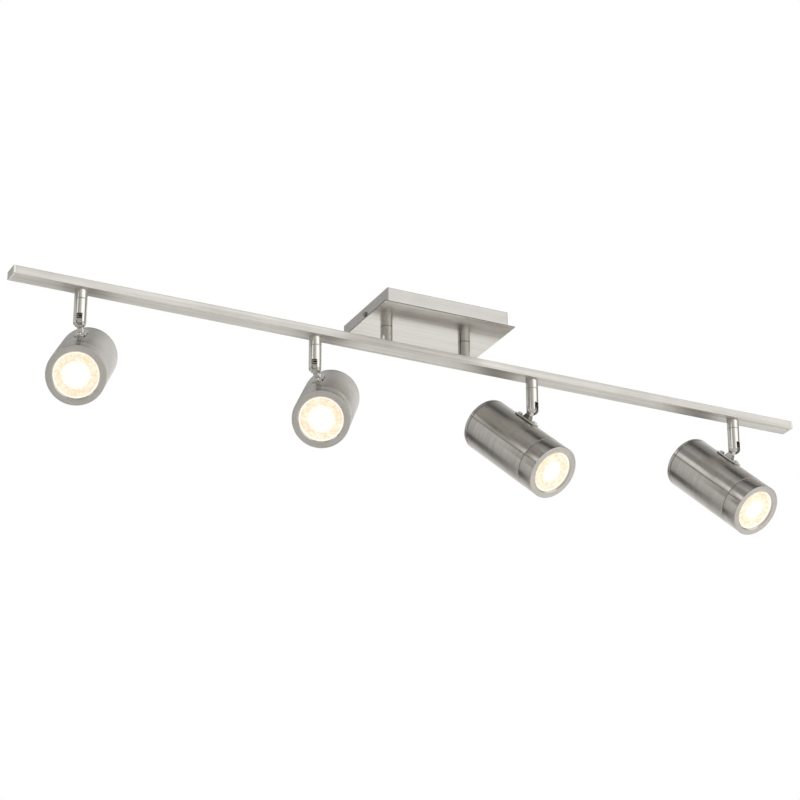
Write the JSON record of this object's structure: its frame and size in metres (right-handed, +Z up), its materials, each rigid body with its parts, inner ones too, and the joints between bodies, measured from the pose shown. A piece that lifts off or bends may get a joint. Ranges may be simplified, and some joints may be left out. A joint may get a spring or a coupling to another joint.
{
  "type": "track lighting fixture",
  "caption": "Ceiling track light in brushed nickel: straight bar under a rectangular canopy, with cylindrical spot heads that turn and tilt on forked stems.",
  "frame": {"origin": "centre of the canopy top, on the ceiling plane", "axes": "+X along the bar, +Z up into the ceiling, -Y the side the heads aim to"},
  "size_m": [0.88, 0.1356, 0.1749],
  "materials": {
    "satin_nickel": "satin brushed",
    "satin_nickel_head": "satin brushed around the axis",
    "polished_nickel": "semi-polished",
    "plated_hardware": "polished",
    "zinc_plated_steel": "zinc plated",
    "brass_fittings": "turned",
    "green_screw": "painted",
    "white_plastic": "moulded",
    "lead_sheath": "smooth",
    "white_ceramic": "glazed",
    "lamp_shell": "moulded",
    "lamp_glow": "frosted, lit"
  },
  "bodies": {
    "fixture": {"canopy_box": "satin_nickel", "canopy_plate": "satin_nickel", "canopy_stem_left": "satin_nickel", "canopy_stem_right": "satin_nickel", "bar_tube": "satin_nickel", "end_cap_left": "satin_nickel", "end_cap_right": "satin_nickel", "swivel_collars": "polished_nickel", "mounting_bracket": "zinc_plated_steel", "ground_screw": "green_screw", "canopy_side_screws": "plated_hardware", "stem_nuts": "brass_fittings", "collar_nuts": "brass_fittings", "terminal_block": "white_plastic", "supply_leads": "lead_sheath"},
    "swivel_1": {"swivel_stem_1": "polished_nickel", "hinge_pin_1": "plated_hardware"},
    "head_1": {"knuckle_1": "polished_nickel", "saddle_screws_1": "plated_hardware", "housing_1": "satin_nickel_head", "rear_cap_1": "satin_nickel_head", "holder_strap_1": "zinc_plated_steel", "lamp_holder_1": "white_ceramic", "lamp_body_1": "lamp_shell", "lamp_lens_1": "lamp_glow"},
    "ring_1": {"front_ring_1": "satin_nickel_head"},
    "swivel_2": {"swivel_stem_2": "polished_nickel", "hinge_pin_2": "plated_hardware"},
    "head_2": {"knuckle_2": "polished_nickel", "saddle_screws_2": "plated_hardware", "housing_2": "satin_nickel_head", "rear_cap_2": "satin_nickel_head", "holder_strap_2": "zinc_plated_steel", "lamp_holder_2": "white_ceramic", "lamp_body_2": "lamp_shell", "lamp_lens_2": "lamp_glow"},
    "ring_2": {"front_ring_2": "satin_nickel_head"},
    "swivel_3": {"swivel_stem_3": "polished_nickel", "hinge_pin_3": "plated_hardware"},
    "head_3": {"knuckle_3": "polished_nickel", "saddle_screws_3": "plated_hardware", "housing_3": "satin_nickel_head", "rear_cap_3": "satin_nickel_head", "holder_strap_3": "zinc_plated_steel", "lamp_holder_3": "white_ceramic", "lamp_body_3": "lamp_shell", "lamp_lens_3": "lamp_glow"},
    "ring_3": {"front_ring_3": "satin_nickel_head"},
    "swivel_4": {"swivel_stem_4": "polished_nickel", "hinge_pin_4": "plated_hardware"},
    "head_4": {"knuckle_4": "polished_nickel", "saddle_screws_4": "plated_hardware", "housing_4": "satin_nickel_head", "rear_cap_4": "satin_nickel_head", "holder_strap_4": "zinc_plated_steel", "lamp_holder_4": "white_ceramic", "lamp_body_4": "lamp_shell", "lamp_lens_4": "lamp_glow"},
    "ring_4": {"front_ring_4": "satin_nickel_head"}
  },
  "joints": [
    {"name": "turn_1", "type": "hinge", "parent": "fixture", "child": "swivel_1", "pos_m": [-0.369, 0, -0.0548], "axis": [0, 0, 1], "range_deg": [-175, 175]},
    {"name": "tilt_1", "type": "hinge", "parent": "swivel_1", "child": "head_1", "pos_m": [-0.369, 0, -0.077], "axis": [0.9063, -0.4226, 0], "range_deg": [-33, 45]},
    {"name": "ring_off_1", "type": "slide", "parent": "head_1", "child": "ring_1", "axis": [-0.3544, -0.7601, -0.5446], "range_m": [0, 0.03]},
    {"name": "turn_2", "type": "hinge", "parent": "fixture", "child": "swivel_2", "pos_m": [-0.123, 0, -0.0548], "axis": [0, 0, 1], "range_deg": [-175, 175]},
    {"name": "tilt_2", "type": "hinge", "parent": "swivel_2", "child": "head_2", "pos_m": [-0.123, 0, -0.077], "axis": [0.8616, -0.5075, 0], "range_deg": [-33.8, 30.2]},
    {"name": "ring_off_2", "type": "slide", "parent": "head_2", "child": "ring_2", "axis": [-0.4218, -0.716, -0.5563], "range_m": [0, 0.03]},
    {"name": "turn_3", "type": "hinge", "parent": "fixture", "child": "swivel_3", "pos_m": [0.123, 0, -0.0548], "axis": [0, 0, 1], "range_deg": [-175, 175]},
    {"name": "tilt_3", "type": "hinge", "parent": "swivel_3", "child": "head_3", "pos_m": [0.123, 0, -0.077], "axis": [0.9304, 0.3665, 0], "range_deg": [-41.6, 38.4]},
    {"name": "ring_off_3", "type": "slide", "parent": "head_3", "child": "ring_3", "axis": [0.2741, -0.6958, -0.6639], "range_m": [0, 0.03]},
    {"name": "turn_4", "type": "hinge", "parent": "fixture", "child": "swivel_4", "pos_m": [0.369, 0, -0.0548], "axis": [0, 0, 1], "range_deg": [-175, 175]},
    {"name": "tilt_4", "type": "hinge", "parent": "swivel_4", "child": "head_4", "pos_m": [0.369, 0, -0.077], "axis": [0.9426, 0.3338, 0], "range_deg": [-42.6, 37.4]},
    {"name": "ring_off_4", "type": "slide", "parent": "head_4", "child": "ring_4", "axis": [0.2457, -0.6939, -0.6769], "range_m": [0, 0.03]}
  ]
}
